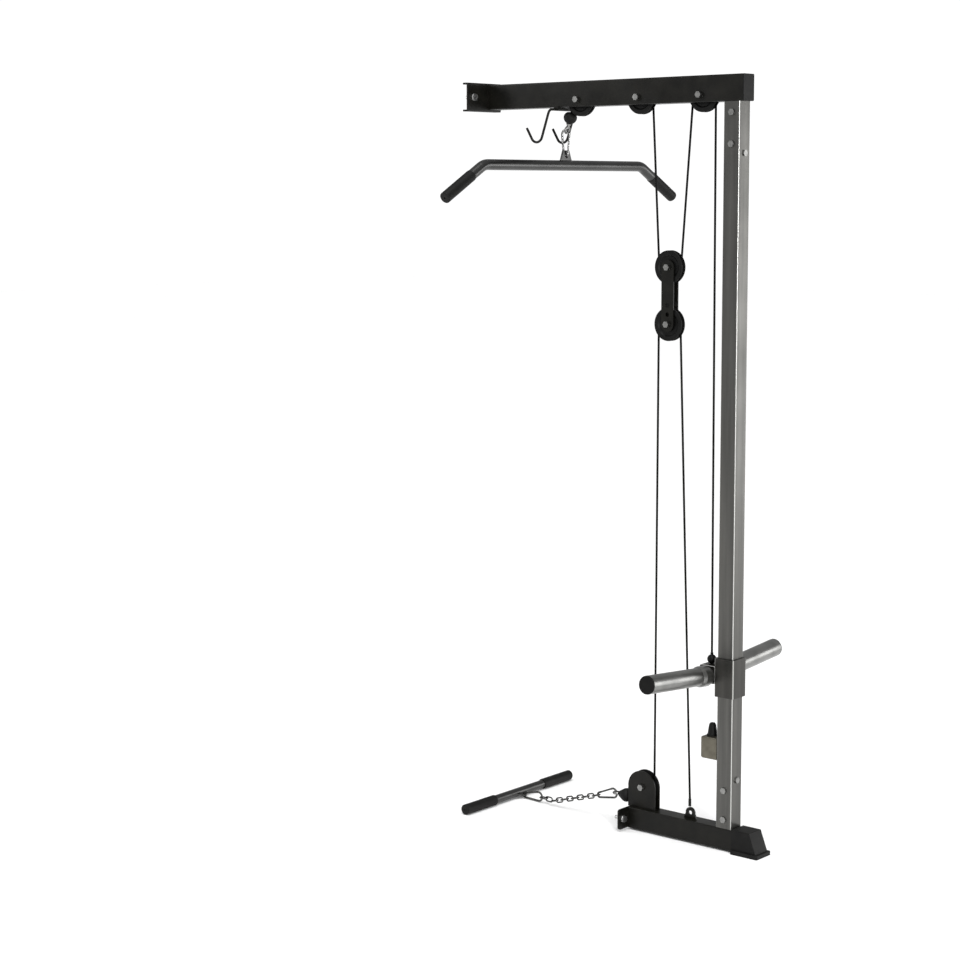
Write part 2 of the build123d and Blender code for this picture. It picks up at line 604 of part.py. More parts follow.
with BuildPart() as post_caps:
    for side in (1, -1):
        cylinder_along(post_plane(side, POST_LENGTH - POST_CAP), POST_RADIUS - 0.3, POST_CAP)
        cylinder_along(post_plane(side, POST_LENGTH - POST_CAP - 14), POST_RADIUS - POST_WALL - 0.1, 14)
    outer = post_caps.edges().filter_by(GeomType.CIRCLE).filter_by(lambda e: e.radius > POST_RADIUS - 1)
    fillet(outer.sort_by(Axis.X)[0], 1.5)
    fillet(outer.sort_by(Axis.X)[-1], 1.5)
post_caps.part.label = "post_caps"

BALL_Y, BALL_Z = CARRIAGE_BALL
with BuildPart() as carriage_cable_ball:
    with BuildSketch(fore_plane(0, BALL_Y, BALL_Z)):
        with BuildLine():
            cut = CROSSBAR_Z[1] - BALL_Z
            foot_radius = (CARRIAGE_BALL_RADIUS**2 - cut**2) ** 0.5
            neck_cut = (CARRIAGE_BALL_RADIUS**2 - 16.0) ** 0.5
            Polyline((0, cut), (foot_radius, cut))
            ThreePointArc((foot_radius, cut), (CARRIAGE_BALL_RADIUS, 0), (4.0, neck_cut))
            Polyline((4.0, neck_cut), (4.0, BALL_NECK_Z - BALL_Z), (0, BALL_NECK_Z - BALL_Z), (0, cut))
        make_face()
    revolve(axis=Axis((0, BALL_Y, 0), (0, 0, 1)))
carriage_cable_ball.part.label = "carriage_cable_ball"


# ---- ball stops and eyes at the working ends of the cables -----------------------------------
def lengthwise(plane):
    """The plane that holds another plane's normal as its y, for turning round that normal."""
    return Plane(origin=plane.origin, x_dir=plane.x_dir, z_dir=-plane.y_dir)


def round_stop(plane):
    """A rubber ball flattened where it meets the pulley, which is on the plane."""
    with BuildPart() as ball:
        with BuildSketch(lengthwise(plane)):
            with BuildLine():
                end = (LAT_STOP_RADIUS**2 - (LAT_STOP_LENGTH - LAT_STOP_WIDEST) ** 2) ** 0.5
                half_way = LAT_STOP_RADIUS * cos(pi / 4)
                Polyline((0, 0), (9.5, 0))
                ThreePointArc((9.5, 0), (16.4, 5.5), (LAT_STOP_RADIUS, LAT_STOP_WIDEST))
                ThreePointArc(
                    (LAT_STOP_RADIUS, LAT_STOP_WIDEST),
                    (half_way, LAT_STOP_WIDEST + half_way),
                    (end, LAT_STOP_LENGTH),
                )
                Polyline((end, LAT_STOP_LENGTH), (0, LAT_STOP_LENGTH), (0, 0))
            make_face()
        revolve(axis=Axis(plane.origin, plane.z_dir))
    return ball


def tapered_stop(plane):
    """A rubber stop whose wide end is on the plane and whose narrow end is along its normal."""
    with BuildPart() as ball:
        with BuildSketch(lengthwise(plane)):
            with BuildLine():
                Polyline((0, 0), (9.5, 0))
                ThreePointArc((9.5, 0), (16.8, 4.4), (ROW_STOP_RADIUS, 12.5))
                Polyline(
                    (ROW_STOP_RADIUS, 12.5),
                    (ROW_STOP_RADIUS - 0.8, 18),
                    (8.5, ROW_STOP_LENGTH),
                    (0, ROW_STOP_LENGTH),
                    (0, 0),
                )
            make_face()
        revolve(axis=Axis(plane.origin, plane.z_dir))
    return ball


def eye(plane, ring_axis, start, reach):
    """A swaged eye: a shank from a distance start along the plane's normal, and a ring at reach."""
    with BuildPart() as fitting:
        centre = plane.origin + plane.z_dir * reach
        with BuildSketch(Plane(origin=centre, x_dir=plane.z_dir, z_dir=ring_axis.cross(plane.z_dir))):
            with Locations((EYE_RING, 0)):
                Circle(EYE_WIRE)
        revolve(axis=Axis(centre, ring_axis))
        cylinder_along(plane.offset(start), EYE_SHANK, reach - EYE_RING - start)
    return fitting


tilt = radians(LAT_STOP_TILT)
lat_stop_plane = Plane(
    origin=(0, *LAT_STOP_TOP), x_dir=(1, 0, 0), z_dir=(0, -sin(tilt), -cos(tilt))
)
lat_stop_ball = round_stop(lat_stop_plane)
lat_stop_ball.part.label = "lat_stop_ball"
lat_eye = eye(lat_stop_plane, -lat_stop_plane.y_dir, LAT_STOP_LENGTH, LAT_EYE_REACH)
with lat_eye:
    cylinder_along(lat_stop_plane.offset(LAT_STOP_LENGTH), *NECK)
lat_eye.part.label = "lat_eye"

row_stop_plane = Plane(origin=(0, *ROW_STOP_TOP), x_dir=(1, 0, 0), z_dir=(0, -1, 0))
row_stop_ball = tapered_stop(row_stop_plane)
row_stop_ball.part.label = "row_stop_ball"
row_eye = eye(row_stop_plane, Vector(0, 0, 1), ROW_STOP_LENGTH, ROW_EYE_REACH)
row_eye.part.label = "row_eye"
ROW_EYE = row_stop_plane.origin + row_stop_plane.z_dir * ROW_EYE_REACH


# ---- carabiners ------------------------------------------------------------------------------
HOOK_TAPER = asin((HOOK_WIDE - HOOK_NARROW) / (HOOK_LENGTH - HOOK_WIDE - HOOK_NARROW))


def hook_side(u):
    """Half the width of a carabiner's straight side, at a distance u from its wide end."""
    from_tangent = u - HOOK_WIDE - HOOK_WIDE * sin(HOOK_TAPER)
    return HOOK_WIDE * cos(HOOK_TAPER) - from_tangent * sin(HOOK_TAPER) / cos(HOOK_TAPER)


def carabiner(plane):
    """A pear-shaped wire hook in a plane, its wide end at the plane's origin and along its x."""
    wide = (HOOK_WIDE + HOOK_WIDE * sin(HOOK_TAPER), HOOK_WIDE * cos(HOOK_TAPER))
    narrow_u = HOOK_LENGTH - HOOK_NARROW + HOOK_NARROW * sin(HOOK_TAPER)
    narrow = (narrow_u, HOOK_NARROW * cos(HOOK_TAPER))
    with BuildPart() as hook:
        with BuildLine(plane) as wire:
            Line((GATE[0], hook_side(GATE[0])), wide)
            ThreePointArc(wide, (0, 0), (wide[0], -wide[1]))
            Line((wide[0], -wide[1]), (narrow[0], -narrow[1]))
            ThreePointArc((narrow[0], -narrow[1]), (HOOK_LENGTH, 0), narrow)
            Line(narrow, (GATE[1], hook_side(GATE[1])))
        with BuildSketch(Plane(origin=wire.line @ 0, z_dir=wire.line % 0)):
            Circle(HOOK_WIRE)
        sweep()
    return hook


def gate_ends(plane):
    """Where the centres of the gate's two round ends are: the free end, then the hinged end."""
    free = GATE[0] + GATE_WIRE + 0.4
    hinged = GATE[1] - GATE_WIRE - 0.4
    return [plane.from_local_coords((u, hook_side(u), 0)) for u in (free, hinged)]


def hook_gate(plane):
    """The sprung gate that closes a carabiner, hinged at its end beside the narrow end."""
    free, hinged = gate_ends(plane)
    with BuildPart() as gate:
        along = Vector(hinged) - Vector(free)
        cylinder_along(Plane(origin=free, z_dir=along), GATE_WIRE, along.length)
        with Locations(free, hinged):
            Sphere(GATE_WIRE)
    return gate


lat_hook_plane = Plane(origin=(0, *LAT_HOOK), x_dir=(0, 0, -1), z_dir=(1, 0, 0))
lat_carabiner = carabiner(lat_hook_plane)
lat_carabiner.part.label = "lat_carabiner"
lat_gate = hook_gate(lat_hook_plane)
lat_gate.part.label = "lat_gate"
LAT_LUG_HOLE = lat_hook_plane.from_local_coords((HOOK_LENGTH, 0, 0))


# ---- lat bar -----------------------------------------------------------------------------------
end_turn = atan2(BAR_Z - BAR_END[1], BAR_END[0] - BAR_BEND_X)
with BuildPart() as lat_bar_tube:
    with BuildLine() as bar_line:
        FilletPolyline(
            (-BAR_END[0], BAR_Y, BAR_END[1]),
            (-BAR_BEND_X, BAR_Y, BAR_Z),
            (BAR_BEND_X, BAR_Y, BAR_Z),
            (BAR_END[0], BAR_Y, BAR_END[1]),
            radius=BAR_BEND_RADIUS,
        )
    with BuildSketch(Plane(origin=bar_line.line @ 0, z_dir=bar_line.line % 0)):
        Circle(BAR_RADIUS)
        Circle(BAR_RADIUS - 2.0, mode=Mode.SUBTRACT)
    sweep()
lat_bar_tube.part.label = "lat_bar_tube"

LUG_HALF = 3.0
with BuildPart() as lat_bar_lug:
    with BuildSketch(fore_plane(0, BAR_Y + LUG_HALF, BAR_Z)):
        Polygon((-25, 4), (25, 4), (23.5, 14), (12.5, 42), (-12.5, 42), (-23.5, 14), align=None)
        with Locations((0, LAT_LUG_HOLE.Z - BAR_Z)):
            Circle(5.5, mode=Mode.SUBTRACT)
    extrude(amount=2 * LUG_HALF)
    cylinder_along(side_plane(-40, BAR_Y, BAR_Z), BAR_RADIUS, 80, Mode.SUBTRACT)
lat_bar_lug.part.label = "lat_bar_lug"


def closed_grip(plane, radius, bore, length):
    """A rubber grip with a closed end, from the plane at a tube's end back along the tube."""
    with BuildPart() as grip:
        cylinder_along(plane.offset(-length), radius, length + GRIP_CAP)
        rims = grip.edges().filter_by(GeomType.CIRCLE).sort_by(Axis(plane.origin, plane.z_dir))
        fillet(rims[-1], 3.0)
        fillet(rims[0], 0.8)
        cylinder_along(plane.offset(-length), bore, length, Mode.SUBTRACT)
        # vent hole in the middle of the closed end
        cylinder_along(plane, VENT_RADIUS, GRIP_CAP, Mode.SUBTRACT)
    return grip


def pair_of_grips(planes, radius, bore, length):
    """Both grips of a bar, as two separate solids."""
    with BuildPart() as grips:
        for plane in planes:
            add(closed_grip(plane, radius, bore, length).part)
    return grips


bar_end_planes = [
    Plane(
        origin=(side * BAR_END[0], BAR_Y, BAR_END[1]),
        z_dir=(side * cos(end_turn), 0, -sin(end_turn)),
    )
    for side in (1, -1)
]
lat_bar_grips = pair_of_grips(bar_end_planes, GRIP_RADIUS, BAR_RADIUS, GRIP_LENGTH)
lat_bar_grips.part.label = "lat_bar_grips"


# ---- row chain and handle ----------------------------------------------------------------------
yaw = radians(ROW_YAW)
slope = radians(CHAIN_SLOPE)
forward = Vector(-sin(yaw), -cos(yaw), 0)
across = Vector(-cos(yaw), sin(yaw), 0)  # normal of the upright plane that the chain lies in
upward = Vector(0, 0, 1)
downhill = forward * cos(slope) - upward * sin(slope)

row_upper_plane = Plane(origin=ROW_EYE, x_dir=downhill, z_dir=across)
row_upper_carabiner = carabiner(row_upper_plane)
row_upper_carabiner.part.label = "row_upper_carabiner"
row_upper_gate = hook_gate(row_upper_plane)
row_upper_gate.part.label = "row_upper_gate"

LINK_STRAIGHT = LINK_PITCH + 4 * LINK_WIRE + 0.2 - 2 * (LINK_HALF_WIDTH + LINK_WIRE)
LINK_HALF_LENGTH = LINK_STRAIGHT / 2 + LINK_HALF_WIDTH
WIRE_CLEARANCE = HOOK_WIRE + LINK_WIRE + 0.2


def chain_link(centre, direction, normal):
    """One closed link in the part that is open, long along direction and flat across normal."""
    plane = Plane(origin=centre, x_dir=direction, z_dir=normal)
    half = LINK_STRAIGHT / 2
    width = LINK_HALF_WIDTH
    for sign in (1, -1):
        start = plane.from_local_coords((-half, sign * width, 0))
        cylinder_along(Plane(origin=start, z_dir=direction), LINK_WIRE, 2 * half)
        end = Plane(origin=plane.from_local_coords((sign * half, 0, 0)), x_dir=plane.y_dir, z_dir=direction)
        with BuildSketch(end) as section:
            with Locations((-sign * width, 0)):
                Circle(LINK_WIRE)
        revolve(section.sketch, axis=Axis(end.origin, normal), revolution_arc=180)


first_link = HOOK_LENGTH - WIRE_CLEARANCE + LINK_HALF_LENGTH
chain_places = []
for i in range(LINK_COUNT):
    if i < LINKS_ON_SLOPE:
        chain_places.append((ROW_EYE + downhill * (first_link + i * LINK_PITCH), downhill))
    else:
        chain_places.append((chain_places[-1][0] + forward * LINK_PITCH, forward))

with BuildPart() as row_chain_links:
    for i, (centre, direction) in enumerate(chain_places):
        flat = direction.cross(across)
        chain_link(centre, direction, flat if i % 2 == 0 else across)
row_chain_links.part.label = "row_chain_links"

# the lower carabiner tips forward until its bottom side lies along the floor
last_link = chain_places[-1][0]
LOWER_HOOK_Z = HOOK_WIRE + 0.6 + HOOK_WIDE + HOOK_WIDE * sin(HOOK_TAPER)
lower_start = last_link + forward * (LINK_HALF_LENGTH - WIRE_CLEARANCE)
lower_along = forward * cos(HOOK_TAPER) - upward * sin(HOOK_TAPER)
row_lower_plane = Plane(
    origin=(lower_start.X, lower_start.Y, LOWER_HOOK_Z), x_dir=lower_along, z_dir=across
)
row_lower_carabiner = carabiner(row_lower_plane)
row_lower_carabiner.part.label = "row_lower_carabiner"
row_lower_gate = hook_gate(row_lower_plane)
row_lower_gate.part.label = "row_lower_gate"

# the handle lies square to the tower, and its lug slopes down into the carabiner's narrow end
narrow_end = row_lower_plane.from_local_coords((HOOK_LENGTH, 0, 0))
lug_slope = asin(HANDLE_LUG_DROP / HANDLE_LUG_REACH)
lug_along = Vector(0, cos(lug_slope), -sin(lug_slope))
handle_hole = Vector(narrow_end.X, narrow_end.Y, HANDLE_Z - HANDLE_LUG_DROP)
handle_centre = handle_hole - lug_along * HANDLE_LUG_REACH
with BuildPart() as row_handle_bar:
    with BuildSketch(side_plane(handle_centre.X - HANDLE_HALF_LENGTH, handle_centre.Y, HANDLE_Z)):
        Circle(HANDLE_RADIUS)
        Circle(HANDLE_RADIUS - 2.5, mode=Mode.SUBTRACT)
    extrude(amount=2 * HANDLE_HALF_LENGTH)
row_handle_bar.part.label = "row_handle_bar"

HANDLE_LUG = 5.0
lug_normal = Vector(1, 0, 0).cross(lug_along) * -1
with BuildPart() as row_handle_lug:
    lug_plane = Plane(origin=handle_centre, x_dir=lug_along, z_dir=lug_normal)
    with BuildSketch(lug_plane.offset(-HANDLE_LUG / 2)):
        reach = HANDLE_LUG_REACH
        Polygon((4, -34), (8, -34), (reach, -9.5), (reach, 9.5), (8, 34), (4, 34), align=None)
        with Locations((reach, 0)):
            Circle(9.5)
        with Locations((reach, 0)):
            Circle(5.0, mode=Mode.SUBTRACT)
    extrude(amount=HANDLE_LUG)
    handle_start = side_plane(handle_centre.X - 50, handle_centre.Y, HANDLE_Z)
    cylinder_along(handle_start, HANDLE_RADIUS, 100, Mode.SUBTRACT)
row_handle_lug.part.label = "row_handle_lug"

handle_end_planes = [
    side_plane(handle_centre.X + side * HANDLE_HALF_LENGTH, handle_centre.Y, HANDLE_Z, side)
    for side in (1, -1)
]
row_handle_grips = pair_of_grips(handle_end_planes, HANDLE_GRIP_RADIUS, HANDLE_RADIUS, HANDLE_GRIP_LENGTH)
row_handle_grips.part.label = "row_handle_grips"


# ---- cables --------------------------------------------------------------------------------------
def tangent(start, end):
    """The straight run between two stations of a cable, as its two end points.

    A station is (y, z, turn, radius): turn is 1 where the cable goes round it anticlockwise,
    seen with +Y to the right and +Z up, and -1 where it goes clockwise.
    """
    y1, z1, turn1, radius1 = start
    y2, z2, turn2, radius2 = end
    length = ((y2 - y1) ** 2 + (z2 - z1) ** 2) ** 0.5
    heading = atan2(z2 - z1, y2 - y1) - asin((turn2 * radius2 - turn1 * radius1) / length)
    normal = (-sin(heading), cos(heading))
    leave = (y1 - turn1 * radius1 * normal[0], z1 - turn1 * radius1 * normal[1])
    reach = (y2 - turn2 * radius2 * normal[0], z2 - turn2 * radius2 * normal[1])
    return leave, reach


def bend(station, first, last):
    """The arc of cable round a station, from one tangent point to the next."""
    y, z, turn, radius = station
    start = atan2(first[1] - z, first[0] - y)
    sweep_angle = (atan2(last[1] - z, last[0] - y) - start) * turn % (2 * pi)
    middle = start + turn * sweep_angle / 2
    mid_point = (y + radius * cos(middle), z + radius * sin(middle))
    return ThreePointArc(first, mid_point, last)


def cable_along(path):
    """A cable along a path, in the part that is open."""
    with BuildSketch(Plane(origin=path.line @ 0, z_dir=path.line % 0)) as section:
        Circle(CABLE_RADIUS)
    sweep(section.sketch, path=path.line)


CABLE_END_GAP = 0.2
lat_route = [
    (LAT_STOP_TOP[0], LAT_STOP_TOP[1] + CABLE_RADIUS * sin(tilt) + CABLE_END_GAP, 0, 0),
    (*FRONT_PULLEY, -1, GROOVE),
    (*MIDDLE_PULLEY, -1, GROOVE),
    (*BLOCK_UPPER, 1, GROOVE),
    (*REAR_PULLEY, -1, GROOVE),
    (CARRIAGE_BALL[0], BALL_NECK_Z + CABLE_END_GAP, 0, 0),
]
row_route = [
    (ROW_STOP_TOP[0] + CABLE_END_GAP, ROW_STOP_TOP[1], 0, 0),
    (*LOW_PULLEY, 1, GROOVE),
    (*BLOCK_LOWER, -1, GROOVE),
    (ANCHOR_LOOP_Y, ANCHOR_FERRULE_Z[1] + CABLE_END_GAP, 0, 0),
]
lat_runs = [tangent(a, b) for a, b in zip(lat_route, lat_route[1:])]
row_runs = [tangent(a, b) for a, b in zip(row_route, row_route[1:])]


def straight_cable(runs):
    """A node of straight cable runs, each a separate solid."""
    with BuildPart() as stretch:
        for first, last in runs:
            with BuildLine(Plane.YZ) as path:
                Line(first, last)
            cable_along(path)
    return stretch


cable_lat_run = straight_cable([lat_runs[0]])
cable_lat_run.part.label = "cable_lat_run"
cable_carriage_run = straight_cable([lat_runs[4]])
cable_carriage_run.part.label = "cable_carriage_run"
cable_block_runs = straight_cable([lat_runs[2], lat_runs[3], row_runs[1], row_runs[2]])
cable_block_runs.part.label = "cable_block_runs"
cable_row_run = straight_cable([row_runs[0]])
cable_row_run.part.label = "cable_row_run"

with BuildPart() as cable_frame_bends:
    with BuildLine(Plane.YZ) as over_beam:
        bend(lat_route[1], lat_runs[0][1], lat_runs[1][0])
        Line(*lat_runs[1])
        bend(lat_route[2], lat_runs[1][1], lat_runs[2][0])
    cable_along(over_beam)
    with BuildLine(Plane.YZ) as over_rear:
        bend(lat_route[4], lat_runs[3][1], lat_runs[4][0])
    cable_along(over_rear)
    with BuildLine(Plane.YZ) as round_low:
        bend(row_route[1], row_runs[0][1], row_runs[1][0])
    cable_along(round_low)
cable_frame_bends.part.label = "cable_frame_bends"

with BuildPart() as cable_block_bends:
    with BuildLine(Plane.YZ) as under_block:
        bend(lat_route[3], lat_runs[2][1], lat_runs[3][0])
    cable_along(under_block)
    with BuildLine(Plane.YZ) as over_block:
        bend(row_route[2], row_runs[1][1], row_runs[2][0])
    cable_along(over_block)
cable_block_bends.part.label = "cable_block_bends"


# ---- write the nodes -----------------------------------------------------------------------------
PIECES = [
    top_beam, top_beam_cap, top_bracket, bottom_beam, bottom_bracket, rack_bolts, upright,
    upright_stubs, upright_bolts, rear_foot, bar_hooks, bumper_stub, bumper, cable_anchor_tab,
    cable_anchor_loop, front_pulley, middle_pulley, rear_pulley, low_pulley, block_upper_pulley,
    block_lower_pulley, beam_axles, beam_spacers, low_pulley_plates, low_pulley_axle, block_plates,
    block_axles, carriage_sleeve, carriage_glides, carriage_crossbar, weight_posts, post_collars,
    post_caps, carriage_cable_ball, lat_stop_ball, lat_eye, row_stop_ball, row_eye, lat_carabiner,
    lat_gate, lat_bar_tube, lat_bar_lug, lat_bar_grips, row_upper_carabiner, row_upper_gate,
    row_chain_links, row_lower_carabiner, row_lower_gate, row_handle_bar, row_handle_lug,
    row_handle_grips, cable_lat_run, cable_carriage_run, cable_block_runs, cable_row_run,
    cable_frame_bends, cable_block_bends,
]
for piece in PIECES:
    export_step(piece.part, f"parts/{piece.part.label}.step")

# length of cable in each cable node
SECTION = pi * CABLE_RADIUS**2
for piece in PIECES[-6:]:
    print(piece.part.label, "length", round(piece.part.volume / SECTION, 1))
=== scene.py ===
"""Looks for the lat pulldown tower: materials and cables on the CAD frame, with light and a camera.

Metres, +Z up, in the CAD model's own frame.
"""

import math

import bmesh
import bpy
from mathutils import Matrix, Vector


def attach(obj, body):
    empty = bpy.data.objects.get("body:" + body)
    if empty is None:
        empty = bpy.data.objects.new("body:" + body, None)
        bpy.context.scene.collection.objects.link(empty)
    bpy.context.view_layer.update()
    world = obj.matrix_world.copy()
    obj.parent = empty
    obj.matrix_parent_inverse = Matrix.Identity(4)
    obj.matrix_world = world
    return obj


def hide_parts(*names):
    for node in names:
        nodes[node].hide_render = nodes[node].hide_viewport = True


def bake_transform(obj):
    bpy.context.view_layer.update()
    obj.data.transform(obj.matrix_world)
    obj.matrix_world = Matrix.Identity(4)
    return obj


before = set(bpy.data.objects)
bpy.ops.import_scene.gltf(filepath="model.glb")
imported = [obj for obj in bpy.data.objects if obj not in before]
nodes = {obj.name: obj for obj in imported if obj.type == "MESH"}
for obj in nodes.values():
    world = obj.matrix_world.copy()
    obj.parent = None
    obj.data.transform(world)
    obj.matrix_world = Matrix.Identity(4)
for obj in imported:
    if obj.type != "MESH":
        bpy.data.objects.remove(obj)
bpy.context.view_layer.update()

# ---- places that the added pieces share with the CAD ---------------------------------------
FACE_Y = -0.097  # front face of the upright
GROOVE = 0.036  # radius at which a cable lies in a pulley
CABLE_RADIUS = 0.003
CABLE_SIDES = 20
BEND_STEPS = 28
FRONT_PULLEY = (FACE_Y - 0.488, 2.038)
MIDDLE_PULLEY = (FACE_Y - 0.282, 2.038)
REAR_PULLEY = (FACE_Y - 0.078, 2.038)
LOW_PULLEY = (FACE_Y - 0.260, 0.125)
BLOCK_Y = FACE_Y - 0.185
BLOCK_UPPER = (BLOCK_Y, 1.5825)
BLOCK_LOWER = (BLOCK_Y, 1.4285)
LAT_STOP = (FACE_Y - 0.5247, 2.0029)
ROW_STOP = (FACE_Y - 0.308, 0.089)
CARRIAGE_NECK = (FACE_Y - 0.035, 0.541)
ANCHOR_TOP = (FACE_Y - 0.103, 0.118)

# ---- values that the finishes share ----------------------------------------------------------
EVEN = (1, 1, 1)
TONE_SPAN = (0.3, 0.7)  # the part of a noise texture's range that the tones run over
TONE_DETAIL = 4.0
PATCH_SCALE = 9.0  # noise scale of the patches in which the roughness wanders
SOFT_DETAIL = 2.0  # of the patches, the bump and the floor
RELIEF_DEPTH = 0.0004
# the painted edge highlight fades in between these two limits
FLAT_NORMAL = 0.99  # a surface is flat where the largest part of its normal is above this
CORNER_NORMAL = 0.80  # and fully a corner where it is below this

# sockets of a Mix node set to colour, counted because its types share their names
MIX_FACTOR = 0
MIX_FIRST = 6
MIX_SECOND = 7
MIX_COLOUR = 2


# ---- materials -------------------------------------------------------------------------------
def new_material(name):
    material = bpy.data.materials.new(name)
    material.use_nodes = True
    tree = material.node_tree
    return material, tree, tree.nodes["Principled BSDF"]


def noise(tree, coords, scale, detail, stretch=EVEN):
    """A noise texture on object coordinates, stretched along the axes."""
    mapping = tree.nodes.new("ShaderNodeMapping")
    mapping.inputs["Scale"].default_value = stretch
    tree.links.new(coords, mapping.inputs["Vector"])
    texture = tree.nodes.new("ShaderNodeTexNoise")
    texture.inputs["Scale"].default_value = scale
    texture.inputs["Detail"].default_value = detail
    tree.links.new(mapping.outputs["Vector"], texture.inputs["Vector"])
    return texture.outputs["Fac"]


def ramp(tree, fac, stops):
    """A colour ramp with stops of (position, grey or (r, g, b))."""
    node = tree.nodes.new("ShaderNodeValToRGB")
    elements = node.color_ramp.elements
    while len(elements) < len(stops):
        elements.new(0.5)
    for element, (position, colour) in zip(elements, stops):
        element.position = position
        rgb = colour if isinstance(colour, tuple) else (colour, colour, colour)
        element.color = (*rgb, 1)
    tree.links.new(fac, node.inputs["Fac"])
    return node.outputs["Color"]


def painted_highlight_mask(tree):
    """1 on rounded edges and in holes, where the surface faces none of the axes, and 0 on flats:
    where the painted edge highlight goes.
    """
    facing = tree.nodes.new("ShaderNodeVectorMath")
    facing.operation = "ABSOLUTE"
    tree.links.new(tree.nodes.new("ShaderNodeTexCoord").outputs["Normal"], facing.inputs[0])
    parts = tree.nodes.new("ShaderNodeSeparateXYZ")
    tree.links.new(facing.outputs["Vector"], parts.inputs["Vector"])
    most = parts.outputs["X"]
    for part in ("Y", "Z"):
        larger = tree.nodes.new("ShaderNodeMath")
        larger.operation = "MAXIMUM"
        tree.links.new(most, larger.inputs[0])
        tree.links.new(parts.outputs[part], larger.inputs[1])
        most = larger.outputs["Value"]
    mask = tree.nodes.new("ShaderNodeMapRange")
    mask.inputs["From Min"].default_value = FLAT_NORMAL
    mask.inputs["From Max"].default_value = CORNER_NORMAL
    tree.links.new(most, mask.inputs["Value"])
    return mask.outputs["Result"]


def surface(name, dark, light, roughness, metallic, grain, bump, stretch=EVEN, bump_scale=900,
            shine=0.5, edge_highlight_colour=None):
    """A finish whose colour and roughness wander a little, with a fine bump for its texture, and, if
    a highlight colour is given, a painted highlight on rounded edges and in holes.
    """
    material, tree, shader = new_material(name)
    coords = tree.nodes.new("ShaderNodeTexCoord").outputs["Object"]
    tone = noise(tree, coords, grain, TONE_DETAIL, stretch)
    colour = ramp(tree, tone, list(zip(TONE_SPAN, (dark, light))))
    # painted highlight: a lighter colour laid on rounded edges and in holes, standing in for light
    # caught there
    if edge_highlight_colour:
        painted_edge_highlight = tree.nodes.new("ShaderNodeMix")
        painted_edge_highlight.data_type = "RGBA"
        tree.links.new(painted_highlight_mask(tree), painted_edge_highlight.inputs[MIX_FACTOR])
        tree.links.new(colour, painted_edge_highlight.inputs[MIX_FIRST])
        painted_edge_highlight.inputs[MIX_SECOND].default_value = (*edge_highlight_colour, 1)
        colour = painted_edge_highlight.outputs[MIX_COLOUR]
    tree.links.new(colour, shader.inputs["Base Color"])
    patches = noise(tree, coords, PATCH_SCALE, SOFT_DETAIL)
    span = tree.nodes.new("ShaderNodeMapRange")
    span.inputs["From Min"].default_value, span.inputs["From Max"].default_value = TONE_SPAN
    span.inputs["To Min"].default_value, span.inputs["To Max"].default_value = roughness
    tree.links.new(patches, span.inputs["Value"])
    tree.links.new(span.outputs["Result"], shader.inputs["Roughness"])
    shader.inputs["Metallic"].default_value = metallic
    shader.inputs["Specular IOR Level"].default_value = shine
    height = noise(tree, coords, bump_scale, SOFT_DETAIL, stretch)
    relief = tree.nodes.new("ShaderNodeBump")
    relief.inputs["Strength"].default_value = bump
    relief.inputs["Distance"].default_value = RELIEF_DEPTH
    tree.links.new(height, relief.inputs["Height"])
    tree.links.new(relief.outputs["Normal"], shader.inputs["Normal"])
    return material


BLACK_COAT = {"dark": (0.0030, 0.0029, 0.0023), "light": (0.0075, 0.0071, 0.0055)}

powder = surface(
    "powder_coat", **BLACK_COAT, roughness=(0.28, 0.40), metallic=0.0, grain=26,
    bump=0.16, bump_scale=700, shine=0.17,
)
# black powder coat with a painted highlight along its rounded edges
powder_painted_edges = surface(
    "powder_painted_edges", **BLACK_COAT, roughness=(0.26, 0.36), metallic=0.0, grain=26,
    bump=0.10, bump_scale=700, shine=0.2, edge_highlight_colour=(0.42, 0.42, 0.41),
)
# with a painted highlight along the rounded edges
satin = surface(
    "satin_steel", (0.080, 0.079, 0.075), (0.115, 0.113, 0.106), (0.28, 0.38), metallic=0.92,
    grain=60, stretch=(1, 1, 0.04), bump=0.10, bump_scale=420, edge_highlight_colour=(0.60, 0.60, 0.58),
)
# with a painted highlight along the rounded edges
sleeve = surface(
    "dark_satin", (0.040, 0.039, 0.036), (0.062, 0.060, 0.055), (0.28, 0.38), metallic=0.85,
    grain=50, stretch=(1, 1, 0.05), bump=0.08, bump_scale=420, edge_highlight_colour=(0.45, 0.45, 0.43),
)
stub_steel = surface(
    "stub_steel", (0.10, 0.092, 0.072), (0.15, 0.138, 0.108), (0.34, 0.46), metallic=0.8,
    grain=50, bump=0.10, bump_scale=500,
)
zinc = surface(
    "zinc", (0.42, 0.42, 0.42), (0.58, 0.58, 0.57), (0.20, 0.34), metallic=1.0,
    grain=130, bump=0.12,
)
dull_zinc = surface(
    "dull_zinc", (0.20, 0.20, 0.195), (0.30, 0.30, 0.29), (0.28, 0.40), metallic=1.0,
    grain=130, bump=0.12,
)
chrome = surface(
    "chrome", (0.20, 0.20, 0.194), (0.27, 0.27, 0.262), (0.30, 0.38), metallic=1.0,
    grain=24, bump=0.03, bump_scale=300,
)
chain_steel = surface(
    "chain_steel", (0.055, 0.055, 0.053), (0.12, 0.12, 0.117), (0.14, 0.24), metallic=1.0,
    grain=160, bump=0.05, bump_scale=500,
)
fittings = surface(
    "fitting_chrome", (0.17, 0.17, 0.168), (0.27, 0.27, 0.265), (0.12, 0.20), metallic=1.0,
    grain=90, bump=0.05, bump_scale=500,
)
bar_metal = surface(
    "bar_metal", (0.050, 0.050, 0.049), (0.066, 0.066, 0.065), (0.26, 0.34), metallic=0.9,
    grain=14, bump=0.01, bump_scale=160,
)
